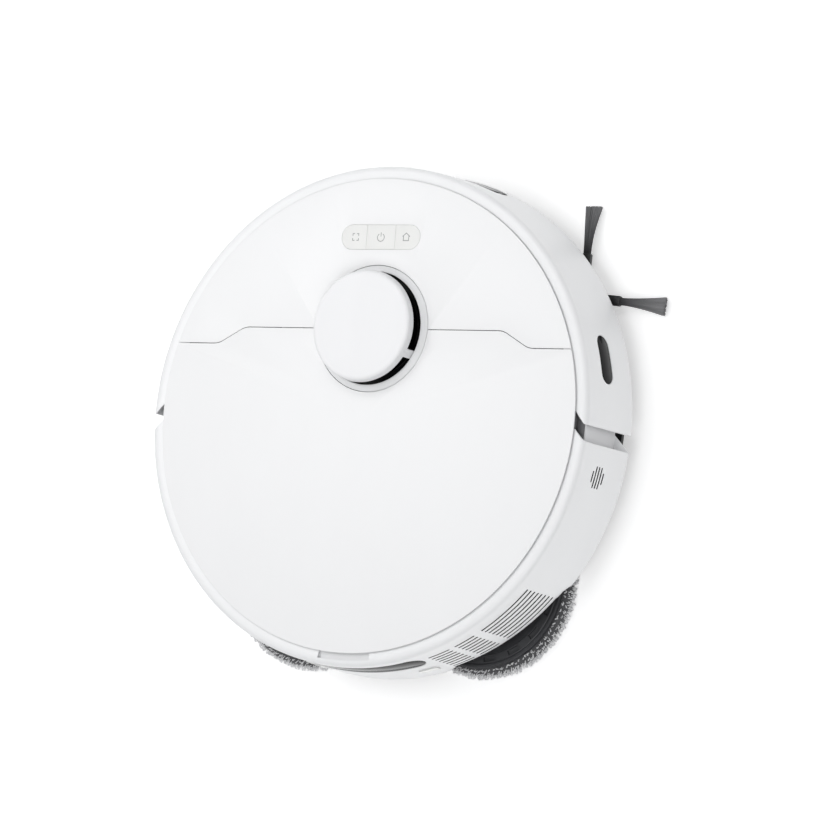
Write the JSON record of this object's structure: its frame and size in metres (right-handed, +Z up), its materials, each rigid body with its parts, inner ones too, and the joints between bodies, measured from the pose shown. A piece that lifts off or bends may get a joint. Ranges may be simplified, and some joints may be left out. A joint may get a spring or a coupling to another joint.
{
  "type": "robot vacuum",
  "caption": "Round robot vacuum and mop with a laser turret, sprung front bumper, lift-off rear cover, corner brush and spinning mop pads.",
  "frame": {"origin": "on the body's vertical axis, in the plane of the chassis underside, 12 mm above the floor", "axes": "+X to the robot's right, +Y to its front (bumper side), +Z up"},
  "size_m": [0.3608, 0.35, 0.093],
  "materials": {
    "white_shell": "near-white moulded plastic, fine satin texture",
    "top_white": "near-white moulded plastic, smooth satin",
    "light_grey_plastic": "light grey moulded plastic, matt",
    "mid_grey_plastic": "dark grey moulded plastic, matt",
    "dark_plastic": "black moulded plastic, fine texture",
    "window_black": "glossy black infrared window",
    "tyre_rubber": "black moulded rubber",
    "brush_rubber": "dark grey soft rubber",
    "bristle": "black rubber arms with grey nylon bristles",
    "belt_rubber": "black rubber belt",
    "steel": "plain steel",
    "contact_metal": "plated charging contact",
    "smoke_plastic": "smoke-tinted clear plastic",
    "board_green": "green circuit board",
    "mop_fibre": "light grey looped microfibre pile",
    "filter_white": "white pleated filter paper in a frame",
    "battery_wrap": "blue-black shrink wrap over cells",
    "latch_orange": "dark orange plastic"
  },
  "bodies": {
    "root": {"rear_housing": "white_shell", "front_top_panel": "top_white", "turret_ring": "light_grey_plastic", "inner_deck": "light_grey_plastic", "mid_frame": "mid_grey_plastic", "brush_guard": "mid_grey_plastic", "chassis_base": "dark_plastic", "lidar_base": "dark_plastic", "brush_housing": "dark_plastic", "caster_socket": "dark_plastic", "fan_housing": "dark_plastic", "speaker": "dark_plastic", "rear_window": "window_black", "lidar_belt": "belt_rubber", "lidar_motor": "steel", "brush_motor": "steel", "side_brush_motor": "steel", "left_wheel_spring": "steel", "right_wheel_spring": "steel", "left_bumper_spring": "steel", "right_bumper_spring": "steel", "left_charge_contact": "contact_metal", "right_charge_contact": "contact_metal", "water_tank": "smoke_plastic", "main_board": "board_green", "battery": "battery_wrap"},
    "bumper": {"front_bumper": "white_shell", "front_window": "window_black", "side_window": "window_black"},
    "cover": {"rear_top_cover": "top_white"},
    "bin": {"dustbin": "smoke_plastic", "dustbin_lid": "smoke_plastic", "dust_filter": "filter_white"},
    "bin_latch": {"dustbin_latch": "latch_orange"},
    "turret_cap": {"lidar_cap": "light_grey_plastic"},
    "laser_head": {"lidar_head": "window_black"},
    "laser_pulley": {"lidar_pulley": "top_white"},
    "spot_key": {"spot_button": "top_white"},
    "power_key": {"power_button": "top_white"},
    "home_key": {"home_button": "top_white"},
    "roller": {"main_brush": "brush_rubber"},
    "corner_brush": {"side_brush": "bristle", "side_brush_bristles": "bristle"},
    "left_arm": {"left_wheel_arm": "dark_plastic"},
    "left_wheel": {"left_wheel_hub": "mid_grey_plastic", "left_tyre": "tyre_rubber"},
    "right_arm": {"right_wheel_arm": "dark_plastic"},
    "right_wheel": {"right_wheel_hub": "mid_grey_plastic", "right_tyre": "tyre_rubber"},
    "caster_swivel": {"caster_fork": "dark_plastic"},
    "caster_roller": {"caster_wheel": "top_white"},
    "fan_rotor": {"fan_impeller": "top_white"},
    "mop_lifter": {"mop_carriage": "dark_plastic", "mop_motor": "steel"},
    "left_mop": {"left_mop_shaft": "steel", "left_mop_holder": "mid_grey_plastic", "left_mop_pad": "mop_fibre"},
    "right_mop": {"right_mop_shaft": "steel", "right_mop_holder": "mid_grey_plastic", "right_mop_pad": "mop_fibre"}
  },
  "joints": [
    {"name": "bumper_press", "type": "slide", "parent": "root", "child": "bumper", "axis": [0, -1, 0], "range_m": [0, 0.005], "stiffness_N_per_m": 300, "springref_m": -0.002, "deforming": ["left_bumper_spring", "right_bumper_spring"]},
    {"name": "cover_lift", "type": "slide", "parent": "root", "child": "cover", "axis": [0, 0, 1], "range_m": [0, 0.12]},
    {"name": "dustbin_lift", "type": "slide", "parent": "root", "child": "bin", "axis": [0, 0, 1], "range_m": [0, 0.06]},
    {"name": "latch_press", "type": "slide", "parent": "bin", "child": "bin_latch", "axis": [0, 1, 0], "range_m": [0, 0.003], "stiffness_N_per_m": 150, "springref_m": -0.002},
    {"name": "cap_press", "type": "slide", "parent": "root", "child": "turret_cap", "axis": [0, 0, -1], "range_m": [0, 0.0015], "stiffness_N_per_m": 900, "springref_m": -0.001},
    {"name": "lidar_spin", "type": "hinge", "parent": "root", "child": "laser_head", "pos_m": [0, 0.0591, 0.0668], "axis": [0, 0, 1], "continuous": true},
    {"name": "pulley_spin", "type": "hinge", "parent": "root", "child": "laser_pulley", "pos_m": [-0.04602, 0.09205, 0.0535], "axis": [0, 0, 1], "continuous": true},
    {"name": "spot_press", "type": "slide", "parent": "root", "child": "spot_key", "axis": [0, 0, -1], "range_m": [0, 0.0008], "stiffness_N_per_m": 1500, "springref_m": -0.0003},
    {"name": "power_press", "type": "slide", "parent": "root", "child": "power_key", "axis": [0, 0, -1], "range_m": [0, 0.0008], "stiffness_N_per_m": 1500, "springref_m": -0.0003},
    {"name": "home_press", "type": "slide", "parent": "root", "child": "home_key", "axis": [0, 0, -1], "range_m": [0, 0.0008], "stiffness_N_per_m": 1500, "springref_m": -0.0003},
    {"name": "main_brush_spin", "type": "hinge", "parent": "root", "child": "roller", "pos_m": [0, 0.052, 0.008], "axis": [1, 0, 0], "continuous": true},
    {"name": "side_brush_spin", "type": "hinge", "parent": "root", "child": "corner_brush", "pos_m": [0.1225, 0.093, 0], "axis": [0, 0, 1], "continuous": true, "deforming": ["side_brush_bristles"]},
    {"name": "left_suspension", "type": "hinge", "parent": "root", "child": "left_arm", "pos_m": [-0.096, 0.05, 0.018], "axis": [1, 0, 0], "range_deg": [0, 30], "stiffness_Nm_per_rad": 0.3, "springref_deg": 45.84, "deforming": ["left_wheel_spring"]},
    {"name": "left_wheel_spin", "type": "hinge", "parent": "left_arm", "child": "left_wheel", "pos_m": [-0.115, 0.006, 0.023], "axis": [1, 0, 0], "continuous": true},
    {"name": "right_suspension", "type": "hinge", "parent": "root", "child": "right_arm", "pos_m": [0.096, 0.05, 0.018], "axis": [1, 0, 0], "range_deg": [0, 30], "stiffness_Nm_per_rad": 0.3, "springref_deg": 45.84, "deforming": ["right_wheel_spring"]},
    {"name": "right_wheel_spin", "type": "hinge", "parent": "right_arm", "child": "right_wheel", "pos_m": [0.115, 0.006, 0.023], "axis": [1, 0, 0], "continuous": true},
    {"name": "caster_swivel_turn", "type": "hinge", "parent": "root", "child": "caster_swivel", "pos_m": [0, 0.128, 0.001], "axis": [0, 0, 1], "continuous": true},
    {"name": "caster_roll", "type": "hinge", "parent": "caster_swivel", "child": "caster_roller", "pos_m": [0, 0.12, 0.001], "axis": [1, 0, 0], "continuous": true},
    {"name": "fan_spin", "type": "hinge", "parent": "root", "child": "fan_rotor", "pos_m": [0.108, -0.06, 0.02], "axis": [0, 0, 1], "continuous": true},
    {"name": "mop_lift", "type": "slide", "parent": "root", "child": "mop_lifter", "axis": [0, 0, 1], "range_m": [0, 0.007]},
    {"name": "left_mop_spin", "type": "hinge", "parent": "mop_lifter", "child": "left_mop", "pos_m": [-0.068, -0.102, -0.002], "axis": [0, 0, 1], "continuous": true},
    {"name": "right_mop_spin", "type": "hinge", "parent": "mop_lifter", "child": "right_mop", "pos_m": [0.068, -0.102, -0.002], "axis": [0, 0, 1], "continuous": true}
  ],
  "couplings": [
    {"joint": "dustbin_lift", "follows": "cover_lift", "ratio": 0.5},
    {"joint": "pulley_spin", "follows": "lidar_spin", "ratio": 5},
    {"joint": "right_mop_spin", "follows": "left_mop_spin", "ratio": -1}
  ]
}
